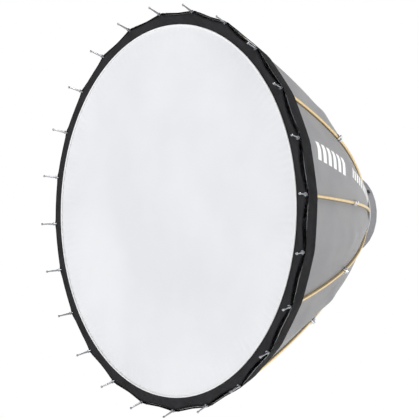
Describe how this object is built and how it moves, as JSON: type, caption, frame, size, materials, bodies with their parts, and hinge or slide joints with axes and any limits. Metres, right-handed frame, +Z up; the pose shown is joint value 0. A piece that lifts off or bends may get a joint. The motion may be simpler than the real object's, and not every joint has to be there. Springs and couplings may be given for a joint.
{
  "type": "parabolic octabox softbox",
  "caption": "Deep round parabolic softbox: hinged ribs in a grey cloth shell, white front diffuser, black border and a lamp ring on a focusing tube.",
  "frame": {"origin": "centre of the hub's rear face, where the stand bracket bolts on", "axes": "+Z up, -Y along the light's axis towards the front diffuser, +X to the right seen from the front's rear"},
  "size_m": [1.6382, 1.091, 1.6382],
  "materials": {
    "hub_aluminium": "bead-blasted, clear anodised",
    "rib_aluminium": "drawn, satin",
    "tube_aluminium": "drawn, satin anodised",
    "ring_aluminium": "turned",
    "screw_steel": "zinc plated",
    "black_cast": "matte powder coat",
    "black_plastic": "moulded, fine texture",
    "white_nylon": "machined",
    "shell_cloth": "coated woven nylon, satin",
    "diffuser_cloth": "thin white woven polyester",
    "black_cloth": "woven nylon"
  },
  "bodies": {
    "hub": {"hub_plate": "hub_aluminium", "hub_cover": "hub_aluminium", "pivot_pins": "screw_steel", "hub_screws": "screw_steel", "tube_clamp": "black_cast", "clamp_bushing": "white_nylon", "rear_collar": "shell_cloth"},
    "carriage": {"focus_tube": "tube_aluminium", "tube_cap": "black_plastic", "lamp_cage": "black_cast", "lamp_ring": "black_cast", "bayonet_insert": "ring_aluminium", "ring_screws": "screw_steel", "latch_pin": "screw_steel"},
    "latch": {"latch_lever": "screw_steel"},
    "knob": {"lock_knob": "black_plastic"},
    "front_cover": {"diffuser_sheet": "diffuser_cloth", "cover_border": "black_cloth"},
    "rib_01": {"rib_01": "rib_aluminium", "shell_panel_01": "shell_cloth"},
    "rib_02": {"rib_02": "rib_aluminium"},
    "rib_03": {"rib_03": "rib_aluminium", "shell_panel_03": "shell_cloth"},
    "rib_04": {"rib_04": "rib_aluminium"},
    "rib_05": {"rib_05": "rib_aluminium", "shell_panel_05": "shell_cloth"},
    "rib_06": {"rib_06": "rib_aluminium"},
    "rib_07": {"rib_07": "rib_aluminium", "shell_panel_07": "shell_cloth"},
    "rib_08": {"rib_08": "rib_aluminium"},
    "rib_09": {"rib_09": "rib_aluminium", "shell_panel_09": "shell_cloth"},
    "rib_10": {"rib_10": "rib_aluminium"},
    "rib_11": {"rib_11": "rib_aluminium", "shell_panel_11": "shell_cloth"},
    "rib_12": {"rib_12": "rib_aluminium"},
    "rib_13": {"rib_13": "rib_aluminium", "shell_panel_13": "shell_cloth"},
    "rib_14": {"rib_14": "rib_aluminium"},
    "rib_15": {"rib_15": "rib_aluminium", "shell_panel_15": "shell_cloth"},
    "rib_16": {"rib_16": "rib_aluminium"},
    "rib_17": {"rib_17": "rib_aluminium", "shell_panel_17": "shell_cloth"},
    "rib_18": {"rib_18": "rib_aluminium"},
    "rib_19": {"rib_19": "rib_aluminium", "shell_panel_19": "shell_cloth"},
    "rib_20": {"rib_20": "rib_aluminium"},
    "rib_21": {"rib_21": "rib_aluminium", "shell_panel_21": "shell_cloth"},
    "rib_22": {"rib_22": "rib_aluminium"},
    "rib_23": {"rib_23": "rib_aluminium", "shell_panel_23": "shell_cloth"},
    "rib_24": {"rib_24": "rib_aluminium"}
  },
  "joints": [
    {"name": "rib_fold", "type": "hinge", "parent": "hub", "child": "rib_01", "pos_m": [0, -0.012, 0.165], "axis": [1, 0, 0], "range_deg": [0, 30], "deforming": ["shell_panel_01", "diffuser_sheet", "cover_border"]},
    {"name": "rib_fold_02", "type": "hinge", "parent": "hub", "child": "rib_02", "pos_m": [0.04271, -0.012, 0.15938], "axis": [0.9659, 0, -0.2588], "range_deg": [0, 30]},
    {"name": "rib_fold_03", "type": "hinge", "parent": "hub", "child": "rib_03", "pos_m": [0.0825, -0.012, 0.14289], "axis": [0.866, 0, -0.5], "range_deg": [0, 30], "deforming": ["shell_panel_03"]},
    {"name": "rib_fold_04", "type": "hinge", "parent": "hub", "child": "rib_04", "pos_m": [0.11667, -0.012, 0.11667], "axis": [0.7071, 0, -0.7071], "range_deg": [0, 30]},
    {"name": "rib_fold_05", "type": "hinge", "parent": "hub", "child": "rib_05", "pos_m": [0.14289, -0.012, 0.0825], "axis": [0.5, 0, -0.866], "range_deg": [0, 30], "deforming": ["shell_panel_05"]},
    {"name": "rib_fold_06", "type": "hinge", "parent": "hub", "child": "rib_06", "pos_m": [0.15938, -0.012, 0.04271], "axis": [0.2588, 0, -0.9659], "range_deg": [0, 30]},
    {"name": "rib_fold_07", "type": "hinge", "parent": "hub", "child": "rib_07", "pos_m": [0.165, -0.012, 0], "axis": [0, 0, -1], "range_deg": [0, 30], "deforming": ["shell_panel_07"]},
    {"name": "rib_fold_08", "type": "hinge", "parent": "hub", "child": "rib_08", "pos_m": [0.15938, -0.012, -0.04271], "axis": [-0.2588, 0, -0.9659], "range_deg": [0, 30]},
    {"name": "rib_fold_09", "type": "hinge", "parent": "hub", "child": "rib_09", "pos_m": [0.14289, -0.012, -0.0825], "axis": [-0.5, 0, -0.866], "range_deg": [0, 30], "deforming": ["shell_panel_09"]},
    {"name": "rib_fold_10", "type": "hinge", "parent": "hub", "child": "rib_10", "pos_m": [0.11667, -0.012, -0.11667], "axis": [-0.7071, 0, -0.7071], "range_deg": [0, 30]},
    {"name": "rib_fold_11", "type": "hinge", "parent": "hub", "child": "rib_11", "pos_m": [0.0825, -0.012, -0.14289], "axis": [-0.866, 0, -0.5], "range_deg": [0, 30], "deforming": ["shell_panel_11"]},
    {"name": "rib_fold_12", "type": "hinge", "parent": "hub", "child": "rib_12", "pos_m": [0.04271, -0.012, -0.15938], "axis": [-0.9659, 0, -0.2588], "range_deg": [0, 30]},
    {"name": "rib_fold_13", "type": "hinge", "parent": "hub", "child": "rib_13", "pos_m": [0, -0.012, -0.165], "axis": [-1, 0, 0], "range_deg": [0, 30], "deforming": ["shell_panel_13"]},
    {"name": "rib_fold_14", "type": "hinge", "parent": "hub", "child": "rib_14", "pos_m": [-0.04271, -0.012, -0.15938], "axis": [-0.9659, 0, 0.2588], "range_deg": [0, 30]},
    {"name": "rib_fold_15", "type": "hinge", "parent": "hub", "child": "rib_15", "pos_m": [-0.0825, -0.012, -0.14289], "axis": [-0.866, 0, 0.5], "range_deg": [0, 30], "deforming": ["shell_panel_15"]},
    {"name": "rib_fold_16", "type": "hinge", "parent": "hub", "child": "rib_16", "pos_m": [-0.11667, -0.012, -0.11667], "axis": [-0.7071, 0, 0.7071], "range_deg": [0, 30]},
    {"name": "rib_fold_17", "type": "hinge", "parent": "hub", "child": "rib_17", "pos_m": [-0.14289, -0.012, -0.0825], "axis": [-0.5, 0, 0.866], "range_deg": [0, 30], "deforming": ["shell_panel_17"]},
    {"name": "rib_fold_18", "type": "hinge", "parent": "hub", "child": "rib_18", "pos_m": [-0.15938, -0.012, -0.04271], "axis": [-0.2588, 0, 0.9659], "range_deg": [0, 30]},
    {"name": "rib_fold_19", "type": "hinge", "parent": "hub", "child": "rib_19", "pos_m": [-0.165, -0.012, 0], "axis": [0, 0, 1], "range_deg": [0, 30], "deforming": ["shell_panel_19"]},
    {"name": "rib_fold_20", "type": "hinge", "parent": "hub", "child": "rib_20", "pos_m": [-0.15938, -0.012, 0.04271], "axis": [0.2588, 0, 0.9659], "range_deg": [0, 30]},
    {"name": "rib_fold_21", "type": "hinge", "parent": "hub", "child": "rib_21", "pos_m": [-0.14289, -0.012, 0.0825], "axis": [0.5, 0, 0.866], "range_deg": [0, 30], "deforming": ["shell_panel_21"]},
    {"name": "rib_fold_22", "type": "hinge", "parent": "hub", "child": "rib_22", "pos_m": [-0.11667, -0.012, 0.11667], "axis": [0.7071, 0, 0.7071], "range_deg": [0, 30]},
    {"name": "rib_fold_23", "type": "hinge", "parent": "hub", "child": "rib_23", "pos_m": [-0.0825, -0.012, 0.14289], "axis": [0.866, 0, 0.5], "range_deg": [0, 30], "deforming": ["shell_panel_23"]},
    {"name": "rib_fold_24", "type": "hinge", "parent": "hub", "child": "rib_24", "pos_m": [-0.04271, -0.012, 0.15938], "axis": [0.9659, 0, 0.2588], "range_deg": [0, 30]},
    {"name": "focus_slide", "type": "slide", "parent": "hub", "child": "carriage", "axis": [0, 1, 0], "range_m": [0, 0.3]},
    {"name": "lock_turn", "type": "hinge", "parent": "hub", "child": "knob", "pos_m": [0, 0.013, 0.04], "axis": [0, 0, 1], "range_deg": [0, 180]},
    {"name": "latch_press", "type": "hinge", "parent": "carriage", "child": "latch", "pos_m": [0.088, -0.567, 0], "axis": [0, -1, 0], "range_deg": [0, 15], "stiffness_Nm_per_rad": 0.2, "springref_deg": -17.19},
    {"name": "cover_off", "type": "slide", "parent": "hub", "child": "front_cover", "axis": [0, -1, 0], "range_m": [0, 0.3]}
  ],
  "couplings": [
    {"joint": "rib_fold_02", "follows": "rib_fold", "ratio": 1},
    {"joint": "rib_fold_03", "follows": "rib_fold", "ratio": 1},
    {"joint": "rib_fold_04", "follows": "rib_fold", "ratio": 1},
    {"joint": "rib_fold_05", "follows": "rib_fold", "ratio": 1},
    {"joint": "rib_fold_06", "follows": "rib_fold", "ratio": 1},
    {"joint": "rib_fold_07", "follows": "rib_fold", "ratio": 1},
    {"joint": "rib_fold_08", "follows": "rib_fold", "ratio": 1},
    {"joint": "rib_fold_09", "follows": "rib_fold", "ratio": 1},
    {"joint": "rib_fold_10", "follows": "rib_fold", "ratio": 1},
    {"joint": "rib_fold_11", "follows": "rib_fold", "ratio": 1},
    {"joint": "rib_fold_12", "follows": "rib_fold", "ratio": 1},
    {"joint": "rib_fold_13", "follows": "rib_fold", "ratio": 1},
    {"joint": "rib_fold_14", "follows": "rib_fold", "ratio": 1},
    {"joint": "rib_fold_15", "follows": "rib_fold", "ratio": 1},
    {"joint": "rib_fold_16", "follows": "rib_fold", "ratio": 1},
    {"joint": "rib_fold_17", "follows": "rib_fold", "ratio": 1},
    {"joint": "rib_fold_18", "follows": "rib_fold", "ratio": 1},
    {"joint": "rib_fold_19", "follows": "rib_fold", "ratio": 1},
    {"joint": "rib_fold_20", "follows": "rib_fold", "ratio": 1},
    {"joint": "rib_fold_21", "follows": "rib_fold", "ratio": 1},
    {"joint": "rib_fold_22", "follows": "rib_fold", "ratio": 1},
    {"joint": "rib_fold_23", "follows": "rib_fold", "ratio": 1},
    {"joint": "rib_fold_24", "follows": "rib_fold", "ratio": 1}
  ]
}
